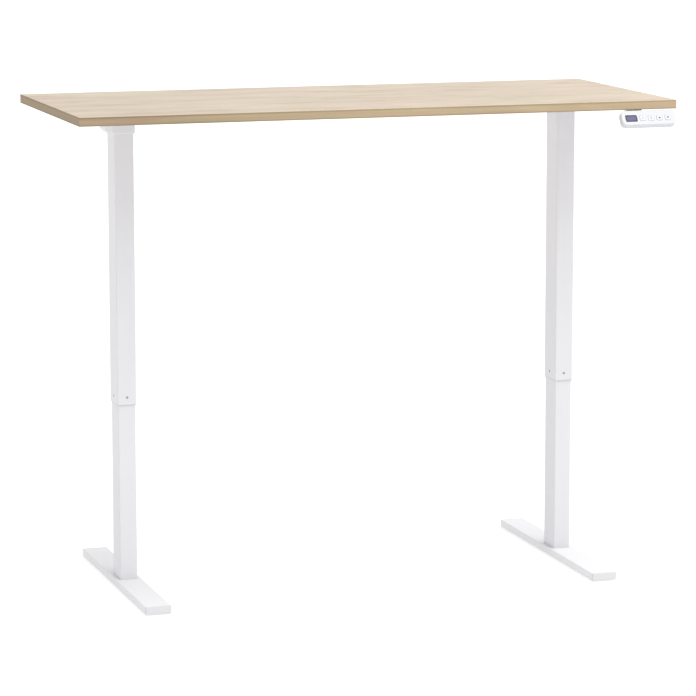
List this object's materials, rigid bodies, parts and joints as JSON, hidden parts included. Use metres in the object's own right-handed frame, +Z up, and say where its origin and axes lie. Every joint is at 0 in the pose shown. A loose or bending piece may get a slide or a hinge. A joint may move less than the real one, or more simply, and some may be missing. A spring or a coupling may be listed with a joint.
{
  "type": "height adjustable standing desk",
  "caption": "Rectangular wood-look desktop on a two-column telescopic lifting frame with flat feet, one motor, a cross shaft and an edge-mounted push-button handset.",
  "frame": {"origin": "on the floor, under the middle of the whole desk's outline seen from above", "axes": "+X along the desktop to the user's right, +Y away from the user towards the back edge, +Z up"},
  "size_m": [1.4, 0.637, 1.118],
  "materials": {
    "oak_laminate": "pale oak grained laminate on a pressed board, satin",
    "oak_edge_band": "oak grained edge band, darker than the top, satin",
    "white_powder_coat": "white powder coat on steel tube, faint orange peel",
    "white_plastic": "white moulded plastic, fine spark texture",
    "handset_plastic": "white moulded plastic, satin",
    "button_plastic": "white moulded button caps with grey printed marks",
    "display_window": "smoked gloss display window",
    "circuit_board": "green solder mask on glass fibre board",
    "zinc_steel": "bright zinc plated steel",
    "ground_steel": "rolled and ground steel, lightly oiled",
    "cast_alloy": "die cast alloy, as cast",
    "gear_steel": "sintered steel gears, greased",
    "nylon": "natural nylon sliding pieces",
    "motor_steel": "black painted motor can",
    "black_plastic": "black moulded plastic housing",
    "lead_sheath": "black flexible lead sheath",
    "leveller_rubber": "black rubber-faced levelling foot on a threaded stud"
  },
  "bodies": {
    "left_leg": {"left_foot": "white_powder_coat", "left_foot_cap_front": "white_plastic", "left_foot_cap_back": "white_plastic", "left_lower_tube": "white_powder_coat", "left_upper_glide": "nylon", "left_spindle_nut": "nylon"},
    "desk_top": {"desktop_board": "oak_laminate", "edge_band": "oak_edge_band", "left_side_arm": "white_powder_coat", "right_side_arm": "white_powder_coat", "crossbeam_outer": "white_powder_coat", "crossbeam_inner": "white_powder_coat", "left_upper_tube": "white_powder_coat", "right_upper_tube": "white_powder_coat", "left_lower_glide": "nylon", "right_lower_glide": "nylon", "left_glide_screw_front": "zinc_steel", "left_glide_screw_back": "zinc_steel", "left_glide_screw_outer": "zinc_steel", "left_glide_screw_inner": "zinc_steel", "right_glide_screw_front": "zinc_steel", "right_glide_screw_back": "zinc_steel", "right_glide_screw_outer": "zinc_steel", "right_glide_screw_inner": "zinc_steel", "left_gearbox": "cast_alloy", "right_gearbox": "cast_alloy", "left_bearing": "zinc_steel", "right_bearing": "zinc_steel", "drive_motor": "motor_steel", "motor_cover": "white_plastic", "control_box_lid": "black_plastic", "control_box_shell": "black_plastic", "power_inlet": "black_plastic", "motor_lead": "lead_sheath", "handset_lead": "lead_sheath", "handset_front": "handset_plastic", "handset_back": "handset_plastic", "handset_display": "display_window", "handset_board": "circuit_board"},
    "right_leg": {"right_foot": "white_powder_coat", "right_foot_cap_front": "white_plastic", "right_foot_cap_back": "white_plastic", "right_lower_tube": "white_powder_coat", "right_upper_glide": "nylon", "right_spindle_nut": "nylon"},
    "left_screw": {"left_spindle": "ground_steel", "left_spindle_gear": "gear_steel"},
    "right_screw": {"right_spindle": "ground_steel", "right_spindle_gear": "gear_steel"},
    "shaft": {"cross_shaft": "ground_steel", "left_shaft_gear": "gear_steel", "right_shaft_gear": "gear_steel"},
    "preset_1_key": {"preset_1_button": "button_plastic"},
    "preset_2_key": {"preset_2_button": "button_plastic"},
    "up_key": {"up_button": "button_plastic"},
    "down_key": {"down_button": "button_plastic"},
    "left_front_glide": {"left_leveller_front": "leveller_rubber"},
    "left_back_glide": {"left_leveller_back": "leveller_rubber"},
    "right_front_glide": {"right_leveller_front": "leveller_rubber"},
    "right_back_glide": {"right_leveller_back": "leveller_rubber"}
  },
  "joints": [
    {"name": "lift", "type": "slide", "parent": "left_leg", "child": "desk_top", "axis": [0, 0, 1], "range_m": [-0.398, 0.062]},
    {"name": "right_leg_slide", "type": "slide", "parent": "desk_top", "child": "right_leg", "axis": [0, 0, -1], "range_m": [-0.399, 0.063]},
    {"name": "left_screw_turn", "type": "hinge", "parent": "desk_top", "child": "left_screw", "pos_m": [-0.535, 0.008, 0.82], "axis": [0, 0, 1], "range_deg": [-14330, 2234]},
    {"name": "right_screw_turn", "type": "hinge", "parent": "desk_top", "child": "right_screw", "pos_m": [0.535, 0.008, 0.82], "axis": [0, 0, 1], "range_deg": [-2234, 14330]},
    {"name": "cross_shaft_turn", "type": "hinge", "parent": "desk_top", "child": "shaft", "pos_m": [0, 0.008, 1.084], "axis": [1, 0, 0], "range_deg": [-14330, 2234]},
    {"name": "preset_1_press", "type": "slide", "parent": "desk_top", "child": "preset_1_key", "axis": [0, 0.829, -0.5592], "range_m": [0, 0.0008], "stiffness_N_per_m": 900, "springref_m": -0.0006},
    {"name": "preset_2_press", "type": "slide", "parent": "desk_top", "child": "preset_2_key", "axis": [0, 0.829, -0.5592], "range_m": [0, 0.0008], "stiffness_N_per_m": 900, "springref_m": -0.0006},
    {"name": "up_press", "type": "slide", "parent": "desk_top", "child": "up_key", "axis": [0, 0.829, -0.5592], "range_m": [0, 0.0008], "stiffness_N_per_m": 900, "springref_m": -0.0006},
    {"name": "down_press", "type": "slide", "parent": "desk_top", "child": "down_key", "axis": [0, 0.829, -0.5592], "range_m": [0, 0.0008], "stiffness_N_per_m": 900, "springref_m": -0.0006},
    {"name": "left_front_level", "type": "slide", "parent": "left_leg", "child": "left_front_glide", "axis": [0, 0, -1], "range_m": [0, 0.008]},
    {"name": "left_back_level", "type": "slide", "parent": "left_leg", "child": "left_back_glide", "axis": [0, 0, -1], "range_m": [0, 0.008]},
    {"name": "right_front_level", "type": "slide", "parent": "right_leg", "child": "right_front_glide", "axis": [0, 0, -1], "range_m": [0, 0.008]},
    {"name": "right_back_level", "type": "slide", "parent": "right_leg", "child": "right_back_glide", "axis": [0, 0, -1], "range_m": [0, 0.008]}
  ],
  "couplings": [
    {"joint": "right_leg_slide", "follows": "lift", "ratio": 1},
    {"joint": "left_screw_turn", "follows": "lift", "rad_per_m": 628.32},
    {"joint": "right_screw_turn", "follows": "lift", "rad_per_m": -628.32},
    {"joint": "cross_shaft_turn", "follows": "lift", "rad_per_m": 628.32}
  ]
}
